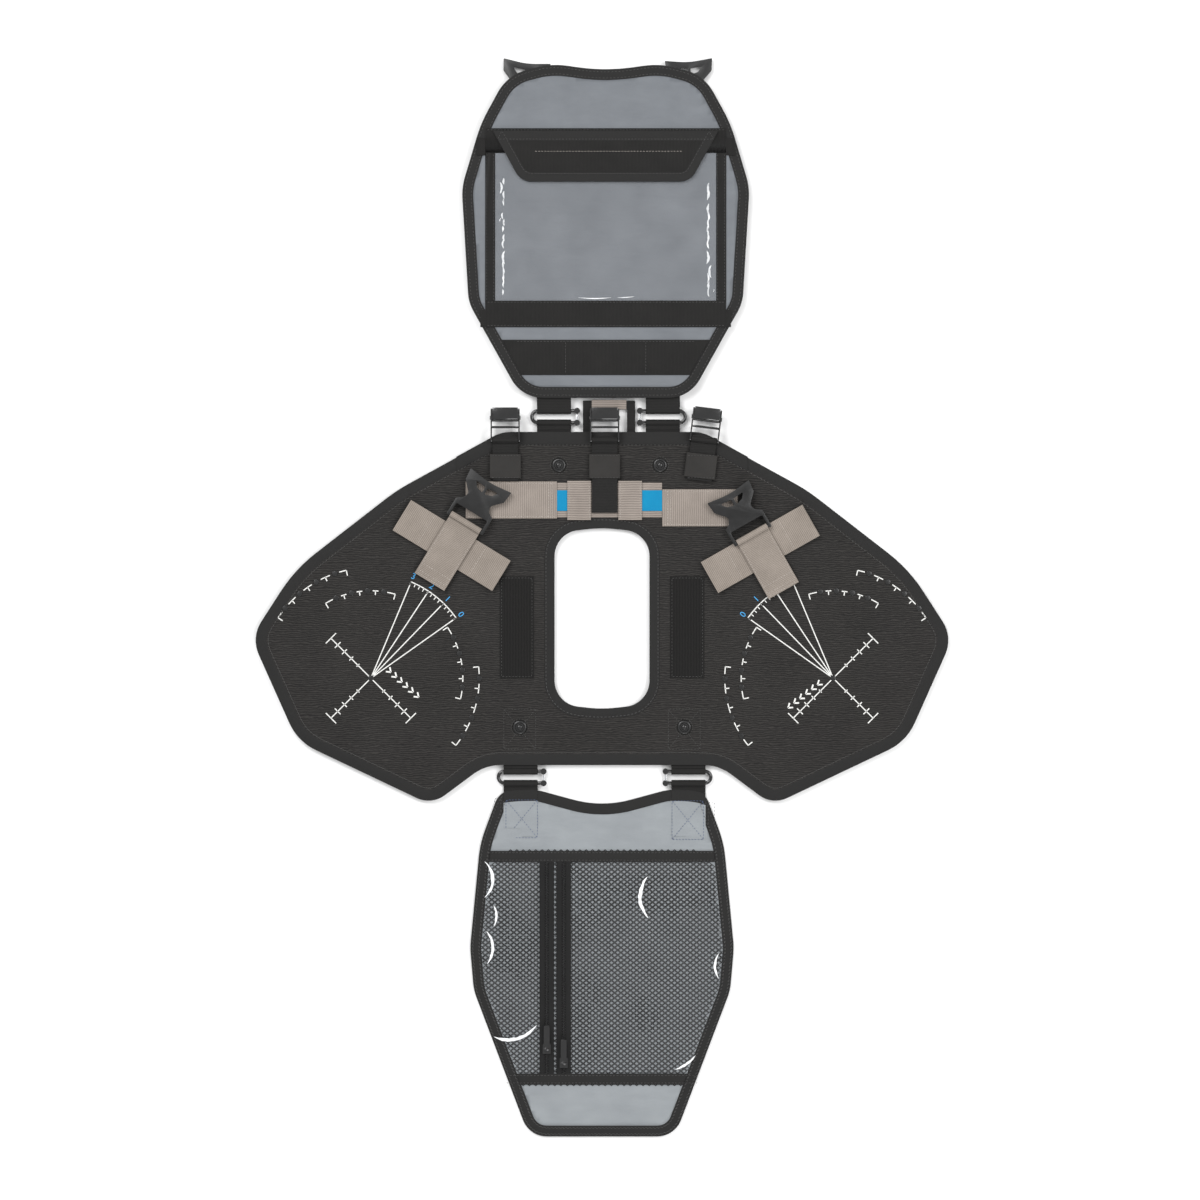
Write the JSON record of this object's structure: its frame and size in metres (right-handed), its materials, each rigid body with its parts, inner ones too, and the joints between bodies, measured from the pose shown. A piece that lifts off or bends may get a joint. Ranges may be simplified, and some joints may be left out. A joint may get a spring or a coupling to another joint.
{
  "type": "harness pocket panel",
  "caption": "Stiff butterfly-shaped harness panel with belt, leg straps and cam buckles, and soft pocket panels hinged on webbing tabs and gated rings.",
  "frame": {"origin": "middle of the footprint, on the surface that the panel lies on, front up", "axes": "+X to the right wing, +Y to the upper panel, +Z out of the front"},
  "size_m": [0.7606, 1.1849, 0.0168],
  "materials": {
    "base_cloth": "matt black nylon with a fine rib",
    "stiffener_board": "foamed board, hidden",
    "binding_tape": "woven black tape",
    "loop_tape": "brushed black loop tape",
    "stud_metal": "black enamel",
    "black_webbing": "black nylon webbing",
    "grey_webbing": "taupe polyester webbing",
    "blue_webbing": "blue stretch webbing",
    "rivet_plastic": "black",
    "panel_cloth": "coated slate grey cloth",
    "clear_vinyl": "clear glossy film",
    "pocket_mesh": "open black mesh",
    "zip_tape": "woven zip tape",
    "zip_nylon": "nylon coil",
    "slider_metal": "black enamel",
    "ring_metal": "gloss black",
    "gate_steel": "bright",
    "hook_plastic": "charcoal acetal",
    "buckle_metal": "gloss black"
  },
  "bodies": {
    "base": {"base_back_fabric": "base_cloth", "base_stiffener": "stiffener_board", "base_front_fabric": "base_cloth", "base_edge_binding": "binding_tape", "opening_binding": "binding_tape", "top_edge_wrap": "binding_tape", "press_studs": "stud_metal", "buckle_straps": "black_webbing", "strap_keepers": "loop_tape", "base_hinge_tabs": "black_webbing", "loop_strips": "loop_tape", "belt_ends": "grey_webbing", "belt_sleeves": "grey_webbing", "belt_blue_bands": "blue_webbing", "adjuster_rivets": "rivet_plastic", "grab_handle": "black_webbing", "handle_sleeve": "grey_webbing"},
    "upper_ring": {"upper_rings": "ring_metal"},
    "lower_ring": {"lower_rings": "ring_metal"},
    "upper_panel": {"upper_fabric": "panel_cloth", "upper_binding": "binding_tape", "window_vinyl": "clear_vinyl", "window_tapes": "binding_tape", "window_elastics": "binding_tape", "upper_loop_band": "loop_tape", "upper_hinge_tabs": "black_webbing", "hook_loops": "black_webbing"},
    "window_flap": {"flap_panel": "binding_tape", "flap_binding": "binding_tape"},
    "lower_panel": {"lower_fabric": "panel_cloth", "lower_binding": "binding_tape", "mesh_pockets": "pocket_mesh", "pocket_windows": "clear_vinyl", "pocket_tapes": "binding_tape", "zipper_tapes": "zip_tape", "zipper_coils": "zip_nylon", "lower_hinge_tabs": "black_webbing"},
    "leg_arm_left": {"leg_strap_left": "grey_webbing", "cross_strap_left": "grey_webbing"},
    "leg_hook_left": {"leg_hook_left": "hook_plastic"},
    "top_hook_left": {"top_hook_left": "hook_plastic"},
    "upper_gate_left": {"upper_gate_left": "gate_steel"},
    "lower_gate_left": {"lower_gate_left": "gate_steel"},
    "slider_left": {"slider_left": "slider_metal"},
    "pull_left": {"pull_left": "slider_metal"},
    "leg_arm_right": {"leg_strap_right": "grey_webbing", "cross_strap_right": "grey_webbing"},
    "leg_hook_right": {"leg_hook_right": "hook_plastic"},
    "top_hook_right": {"top_hook_right": "hook_plastic"},
    "upper_gate_right": {"upper_gate_right": "gate_steel"},
    "lower_gate_right": {"lower_gate_right": "gate_steel"},
    "slider_right": {"slider_right": "slider_metal"},
    "pull_right": {"pull_right": "slider_metal"},
    "cam_frame_left": {"cam_frame_left": "buckle_metal"},
    "cam_lever_left": {"cam_lever_left": "buckle_metal"},
    "cam_frame_middle": {"cam_frame_middle": "buckle_metal"},
    "cam_lever_middle": {"cam_lever_middle": "buckle_metal"},
    "cam_frame_right": {"cam_frame_right": "buckle_metal"},
    "cam_lever_right": {"cam_lever_right": "buckle_metal"}
  },
  "joints": [
    {"name": "upper_ring_swing", "type": "hinge", "parent": "base", "child": "upper_ring", "pos_m": [0, 0.1921, 0.0038], "axis": [1, 0, 0], "range_deg": [-60, 40]},
    {"name": "upper_panel_fold", "type": "hinge", "parent": "upper_ring", "child": "upper_panel", "pos_m": [0, 0.2051, 0.0038], "axis": [1, 0, 0], "range_deg": [-85, 60]},
    {"name": "lower_ring_swing", "type": "hinge", "parent": "base", "child": "lower_ring", "pos_m": [0, -0.191, 0.0038], "axis": [-1, 0, 0], "range_deg": [-40, 60]},
    {"name": "lower_panel_fold", "type": "hinge", "parent": "lower_ring", "child": "lower_panel", "pos_m": [0, -0.204, 0.0038], "axis": [-1, 0, 0], "range_deg": [-60, 85]},
    {"name": "window_flap_open", "type": "hinge", "parent": "upper_panel", "child": "window_flap", "pos_m": [0.004, 0.5108, 0.0129], "axis": [-1, 0, 0], "range_deg": [0, 150]},
    {"name": "top_hook_left_swing", "type": "hinge", "parent": "upper_panel", "child": "top_hook_left", "pos_m": [-0.0888, 0.53573, 0.0038], "axis": [-0.9925, 0.1219, 0], "range_deg": [0, 150]},
    {"name": "top_hook_right_swing", "type": "hinge", "parent": "upper_panel", "child": "top_hook_right", "pos_m": [0.0982, 0.53705, 0.0038], "axis": [-0.9982, -0.0593, 0], "range_deg": [0, 150]},
    {"name": "upper_gate_left_swing", "type": "hinge", "parent": "upper_ring", "child": "upper_gate_left", "pos_m": [-0.0274, 0.1921, 0.0038], "axis": [0, 0, 1], "range_deg": [0, 24], "stiffness_Nm_per_rad": 0.01},
    {"name": "upper_gate_right_swing", "type": "hinge", "parent": "upper_ring", "child": "upper_gate_right", "pos_m": [0.0416, 0.1921, 0.0038], "axis": [0, 0, -1], "range_deg": [0, 24], "stiffness_Nm_per_rad": 0.01},
    {"name": "lower_gate_left_swing", "type": "hinge", "parent": "lower_ring", "child": "lower_gate_left", "pos_m": [-0.0642, -0.204, 0.0038], "axis": [0, 0, 1], "range_deg": [0, 24], "stiffness_Nm_per_rad": 0.01},
    {"name": "lower_gate_right_swing", "type": "hinge", "parent": "lower_ring", "child": "lower_gate_right", "pos_m": [0.0698, -0.204, 0.0038], "axis": [0, 0, -1], "range_deg": [0, 24], "stiffness_Nm_per_rad": 0.01},
    {"name": "leg_strap_left_turn", "type": "hinge", "parent": "base", "child": "leg_arm_left", "pos_m": [-0.2538, -0.0886, 0.007], "axis": [0, 0, 1], "range_deg": [-13, 8]},
    {"name": "leg_hook_left_swing", "type": "hinge", "parent": "leg_arm_left", "child": "leg_hook_left", "pos_m": [-0.1496, 0.08211, 0.01315], "axis": [0.8536, -0.521, 0], "range_deg": [0, 150]},
    {"name": "leg_strap_right_turn", "type": "hinge", "parent": "base", "child": "leg_arm_right", "pos_m": [0.2538, -0.0886, 0.007], "axis": [0, 0, 1], "range_deg": [-8, 13]},
    {"name": "leg_hook_right_swing", "type": "hinge", "parent": "leg_arm_right", "child": "leg_hook_right", "pos_m": [0.16467, 0.06893, 0.01315], "axis": [0.8704, 0.4924, 0], "range_deg": [0, 150]},
    {"name": "slider_left_travel", "type": "slide", "parent": "lower_panel", "child": "slider_left", "axis": [0, 1, 0], "range_m": [0, 0.195]},
    {"name": "pull_left_flip", "type": "hinge", "parent": "slider_left", "child": "pull_left", "pos_m": [-0.0607, -0.4956, 0.0096], "axis": [1, 0, 0], "range_deg": [0, 150]},
    {"name": "slider_right_travel", "type": "slide", "parent": "lower_panel", "child": "slider_right", "axis": [0, 1, 0], "range_m": [0, 0.195]},
    {"name": "pull_right_flip", "type": "hinge", "parent": "slider_right", "child": "pull_right", "pos_m": [-0.0421, -0.511, 0.0096], "axis": [1, 0, 0], "range_deg": [0, 150]},
    {"name": "buckle_left_swing", "type": "hinge", "parent": "base", "child": "cam_frame_left", "pos_m": [-0.1061, 0.173, 0.0117], "axis": [1, 0, 0], "range_deg": [0, 120]},
    {"name": "lever_left_lift", "type": "hinge", "parent": "cam_frame_left", "child": "cam_lever_left", "pos_m": [-0.1061, 0.197, 0.0139], "axis": [1, 0, 0], "range_deg": [0, 70], "stiffness_Nm_per_rad": 0.02},
    {"name": "buckle_middle_swing", "type": "hinge", "parent": "base", "child": "cam_frame_middle", "pos_m": [0.0029, 0.173, 0.0117], "axis": [1, 0, 0], "range_deg": [0, 120]},
    {"name": "lever_middle_lift", "type": "hinge", "parent": "cam_frame_middle", "child": "cam_lever_middle", "pos_m": [0.0029, 0.197, 0.0139], "axis": [1, 0, 0], "range_deg": [0, 70], "stiffness_Nm_per_rad": 0.02},
    {"name": "buckle_right_swing", "type": "hinge", "parent": "base", "child": "cam_frame_right", "pos_m": [0.1119, 0.173, 0.0117], "axis": [0.9925, -0.1219, 0], "range_deg": [0, 120]},
    {"name": "lever_right_lift", "type": "hinge", "parent": "cam_frame_right", "child": "cam_lever_right", "pos_m": [0.11482, 0.19682, 0.0139], "axis": [0.9925, -0.1219, 0], "range_deg": [0, 70], "stiffness_Nm_per_rad": 0.02}
  ]
}
